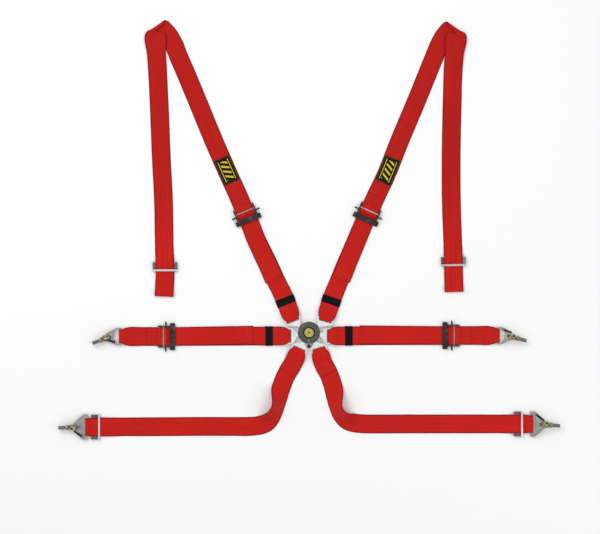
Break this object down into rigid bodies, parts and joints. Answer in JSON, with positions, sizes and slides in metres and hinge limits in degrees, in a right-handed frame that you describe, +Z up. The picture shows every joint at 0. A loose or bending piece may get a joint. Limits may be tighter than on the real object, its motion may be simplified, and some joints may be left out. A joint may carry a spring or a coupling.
{
  "type": "racing harness",
  "caption": "Racing harness laid flat: rotary cam buckle, plug-in tongues, red webbing with tilt-lock adjusters, three-bar slides, and snap hooks on threaded eye bolts.",
  "frame": {"origin": "centre of the back face of the buckle's back plate, on the surface the harness lies on", "axes": "+Z up, away from that surface; +Y towards the shoulder straps; +X towards the right-hand lap strap's hook"},
  "size_m": [1.3375, 1.1206, 0.0369],
  "materials": {
    "webbing_red": "woven polyester webbing, matt with a slight sheen",
    "elastic_black": "black elastic band",
    "label_cloth": "woven patch with plain stripes",
    "black_steel": "satin black coated steel",
    "chrome": "bright chrome plate",
    "zinc_steel": "dull zinc plate",
    "bolt_gold": "yellow passivated zinc plate",
    "buckle_dark": "dark satin coating",
    "badge_yellow": "yellow anodised cap"
  },
  "bodies": {
    "buckle": {"back_plate": "zinc_steel", "buckle_housing": "chrome", "centre_bolt": "zinc_steel", "tongue_lap_left": "chrome", "webbing_lap_left_front": "webbing_red", "keeper_lap_left": "elastic_black"},
    "dial": {"release_dial": "buckle_dark", "release_lever": "buckle_dark", "centre_badge": "badge_yellow"},
    "latch": {"latch_plate": "zinc_steel", "latch_spring": "zinc_steel"},
    "shoulder_left": {"tongue_shoulder_left": "chrome", "webbing_shoulder_left_front": "webbing_red", "keeper_shoulder_left": "elastic_black"},
    "shoulder_left_adjuster": {"adjuster_frame_shoulder_left": "black_steel", "webbing_shoulder_left_rear": "webbing_red", "label_shoulder_left": "label_cloth"},
    "shoulder_left_grip": {"adjuster_grip_shoulder_left": "black_steel"},
    "shoulder_left_slide": {"slide_shoulder_left": "chrome"},
    "lap_left_adjuster": {"adjuster_frame_lap_left": "black_steel", "webbing_lap_left_anchor": "webbing_red"},
    "lap_left_grip": {"adjuster_grip_lap_left": "black_steel"},
    "crotch_left": {"tongue_crotch_left": "chrome", "webbing_crotch_left": "webbing_red"},
    "crotch_left_slide": {"slide_crotch_left": "chrome"},
    "lap_left_hook": {"snap_hook_lap_left": "zinc_steel", "latch_rivet_lap_left": "zinc_steel"},
    "lap_left_latch": {"hook_latch_lap_left": "black_steel"},
    "lap_left_eye": {"eye_bolt_lap_left": "bolt_gold"},
    "crotch_left_hook": {"snap_hook_crotch_left": "zinc_steel", "latch_rivet_crotch_left": "zinc_steel"},
    "crotch_left_latch": {"hook_latch_crotch_left": "black_steel"},
    "crotch_left_eye": {"eye_bolt_crotch_left": "bolt_gold"},
    "shoulder_right": {"tongue_shoulder_right": "chrome", "webbing_shoulder_right_front": "webbing_red", "keeper_shoulder_right": "elastic_black"},
    "shoulder_right_adjuster": {"adjuster_frame_shoulder_right": "black_steel", "webbing_shoulder_right_rear": "webbing_red", "label_shoulder_right": "label_cloth"},
    "shoulder_right_grip": {"adjuster_grip_shoulder_right": "black_steel"},
    "shoulder_right_slide": {"slide_shoulder_right": "chrome"},
    "lap_right": {"tongue_lap_right": "chrome", "webbing_lap_right_front": "webbing_red", "keeper_lap_right": "elastic_black"},
    "lap_right_adjuster": {"adjuster_frame_lap_right": "black_steel", "webbing_lap_right_anchor": "webbing_red"},
    "lap_right_grip": {"adjuster_grip_lap_right": "black_steel"},
    "crotch_right": {"tongue_crotch_right": "chrome", "webbing_crotch_right": "webbing_red"},
    "crotch_right_slide": {"slide_crotch_right": "chrome"},
    "lap_right_hook": {"snap_hook_lap_right": "zinc_steel", "latch_rivet_lap_right": "zinc_steel"},
    "lap_right_latch": {"hook_latch_lap_right": "black_steel"},
    "lap_right_eye": {"eye_bolt_lap_right": "bolt_gold"},
    "crotch_right_hook": {"snap_hook_crotch_right": "zinc_steel", "latch_rivet_crotch_right": "zinc_steel"},
    "crotch_right_latch": {"hook_latch_crotch_right": "black_steel"},
    "crotch_right_eye": {"eye_bolt_crotch_right": "bolt_gold"}
  },
  "joints": [
    {"name": "dial_turn", "type": "hinge", "parent": "buckle", "child": "dial", "pos_m": [0, 0, 0.02], "axis": [0, 0, 1], "range_deg": [-45, 0]},
    {"name": "latch_lift", "type": "slide", "parent": "buckle", "child": "latch", "axis": [0, 0, 1], "range_m": [-0.0026, 0], "deforming": ["latch_spring"]},
    {"name": "shoulder_left_release", "type": "slide", "parent": "buckle", "child": "shoulder_left", "axis": [-0.7967, 0.6044, 0], "range_m": [0, 0.025]},
    {"name": "shoulder_left_adjust", "type": "slide", "parent": "shoulder_left", "child": "shoulder_left_adjuster", "axis": [-0.3911, 0.9203, 0], "range_m": [-0.05, 0.1], "deforming": ["webbing_shoulder_left_front"]},
    {"name": "shoulder_left_grip_shift", "type": "slide", "parent": "shoulder_left_adjuster", "child": "shoulder_left_grip", "axis": [-0.3911, 0.9203, 0], "range_m": [-0.0028, 0.0028], "deforming": ["webbing_shoulder_left_front"]},
    {"name": "shoulder_left_end_adjust", "type": "slide", "parent": "shoulder_left_adjuster", "child": "shoulder_left_slide", "axis": [-0.0024, 1, 0], "range_m": [-0.03, 0.05], "deforming": ["webbing_shoulder_left_rear"]},
    {"name": "lap_left_adjust", "type": "slide", "parent": "buckle", "child": "lap_left_adjuster", "axis": [-1, 0.0017, 0], "range_m": [-0.1, 0.1], "deforming": ["webbing_lap_left_front"]},
    {"name": "lap_left_grip_shift", "type": "slide", "parent": "lap_left_adjuster", "child": "lap_left_grip", "axis": [-1, 0.0017, 0], "range_m": [-0.0028, 0.0028], "deforming": ["webbing_lap_left_front"]},
    {"name": "crotch_left_release", "type": "slide", "parent": "buckle", "child": "crotch_left", "axis": [-0.5117, -0.8592, 0], "range_m": [0, 0.025]},
    {"name": "crotch_left_adjust", "type": "slide", "parent": "crotch_left", "child": "crotch_left_slide", "axis": [-1, 0, 0], "range_m": [-0.08, 0.03], "deforming": ["webbing_crotch_left"]},
    {"name": "lap_left_hook_swing", "type": "hinge", "parent": "lap_left_adjuster", "child": "lap_left_hook", "pos_m": [-0.5025, -0.0105, 0.0051], "axis": [0.0017, 1, 0], "range_deg": [-30, 60], "deforming": ["webbing_lap_left_anchor"]},
    {"name": "lap_left_latch_open", "type": "hinge", "parent": "lap_left_hook", "child": "lap_left_latch", "pos_m": [-0.51619, -0.02675, 0.0087], "axis": [-0.2549, 0.0004, -0.967], "range_deg": [0, 12], "stiffness_Nm_per_rad": 0.05},
    {"name": "lap_left_eye_swing", "type": "hinge", "parent": "lap_left_hook", "child": "lap_left_eye", "pos_m": [-0.52958, -0.01046, 0.01224], "axis": [0, 0, 1], "range_deg": [-15, 5]},
    {"name": "crotch_left_hook_swing", "type": "hinge", "parent": "crotch_left_slide", "child": "crotch_left_hook", "pos_m": [-0.5925, -0.252, 0.0051], "axis": [0.0001, 1, 0], "range_deg": [-30, 60], "deforming": ["webbing_crotch_left"]},
    {"name": "crotch_left_latch_open", "type": "hinge", "parent": "crotch_left_hook", "child": "crotch_left_latch", "pos_m": [-0.604, -0.27824, 0.00859], "axis": [-0.2907, 0, -0.9568], "range_deg": [0, 12], "stiffness_Nm_per_rad": 0.05},
    {"name": "crotch_left_eye_swing", "type": "hinge", "parent": "crotch_left_hook", "child": "crotch_left_eye", "pos_m": [-0.61738, -0.252, 0.01266], "axis": [0, 0, 1], "range_deg": [-15, 15]},
    {"name": "shoulder_right_release", "type": "slide", "parent": "buckle", "child": "shoulder_right", "axis": [0.7967, 0.6044, 0], "range_m": [0, 0.025]},
    {"name": "shoulder_right_adjust", "type": "slide", "parent": "shoulder_right", "child": "shoulder_right_adjuster", "axis": [0.4147, 0.91, 0], "range_m": [-0.05, 0.1], "deforming": ["webbing_shoulder_right_front"]},
    {"name": "shoulder_right_grip_shift", "type": "slide", "parent": "shoulder_right_adjuster", "child": "shoulder_right_grip", "axis": [0.4147, 0.91, 0], "range_m": [-0.0028, 0.0028], "deforming": ["webbing_shoulder_right_front"]},
    {"name": "shoulder_right_end_adjust", "type": "slide", "parent": "shoulder_right_adjuster", "child": "shoulder_right_slide", "axis": [-0.0234, 0.9997, 0], "range_m": [-0.03, 0.05], "deforming": ["webbing_shoulder_right_rear"]},
    {"name": "lap_right_release", "type": "slide", "parent": "buckle", "child": "lap_right", "axis": [0.9854, -0.1705, 0], "range_m": [0, 0.025]},
    {"name": "lap_right_adjust", "type": "slide", "parent": "lap_right", "child": "lap_right_adjuster", "axis": [1, 0, 0], "range_m": [-0.1, 0.1], "deforming": ["webbing_lap_right_front"]},
    {"name": "lap_right_grip_shift", "type": "slide", "parent": "lap_right_adjuster", "child": "lap_right_grip", "axis": [1, 0, 0], "range_m": [-0.0028, 0.0028], "deforming": ["webbing_lap_right_front"]},
    {"name": "crotch_right_release", "type": "slide", "parent": "buckle", "child": "crotch_right", "axis": [0.5117, -0.8592, 0], "range_m": [0, 0.025]},
    {"name": "crotch_right_adjust", "type": "slide", "parent": "crotch_right", "child": "crotch_right_slide", "axis": [1, 0, 0], "range_m": [-0.08, 0.03], "deforming": ["webbing_crotch_right"]},
    {"name": "lap_right_hook_swing", "type": "hinge", "parent": "lap_right_adjuster", "child": "lap_right_hook", "pos_m": [0.504, -0.008, 0.0051], "axis": [0, -1, 0], "range_deg": [-30, 60], "deforming": ["webbing_lap_right_anchor"]},
    {"name": "lap_right_latch_open", "type": "hinge", "parent": "lap_right_hook", "child": "lap_right_latch", "pos_m": [0.51752, 0.00827, 0.00919], "axis": [0.2895, 0, -0.9572], "range_deg": [0, 12], "stiffness_Nm_per_rad": 0.05},
    {"name": "lap_right_eye_swing", "type": "hinge", "parent": "lap_right_hook", "child": "lap_right_eye", "pos_m": [0.5308, -0.008, 0.01321], "axis": [0, 0, 1], "range_deg": [-15, 15]},
    {"name": "crotch_right_hook_swing", "type": "hinge", "parent": "crotch_right_slide", "child": "crotch_right_hook", "pos_m": [0.5935, -0.244, 0.0051], "axis": [0, -1, 0], "range_deg": [-30, 60], "deforming": ["webbing_crotch_right"]},
    {"name": "crotch_right_latch_open", "type": "hinge", "parent": "crotch_right_hook", "child": "crotch_right_latch", "pos_m": [0.60495, -0.21776, 0.00877], "axis": [0.3052, 0, -0.9523], "range_deg": [0, 12], "stiffness_Nm_per_rad": 0.05},
    {"name": "crotch_right_eye_swing", "type": "hinge", "parent": "crotch_right_hook", "child": "crotch_right_eye", "pos_m": [0.61826, -0.244, 0.01304], "axis": [0, 0, 1], "range_deg": [-15, 15]}
  ],
  "couplings": [
    {"joint": "latch_lift", "follows": "dial_turn", "m_per_rad": 0.00331}
  ]
}
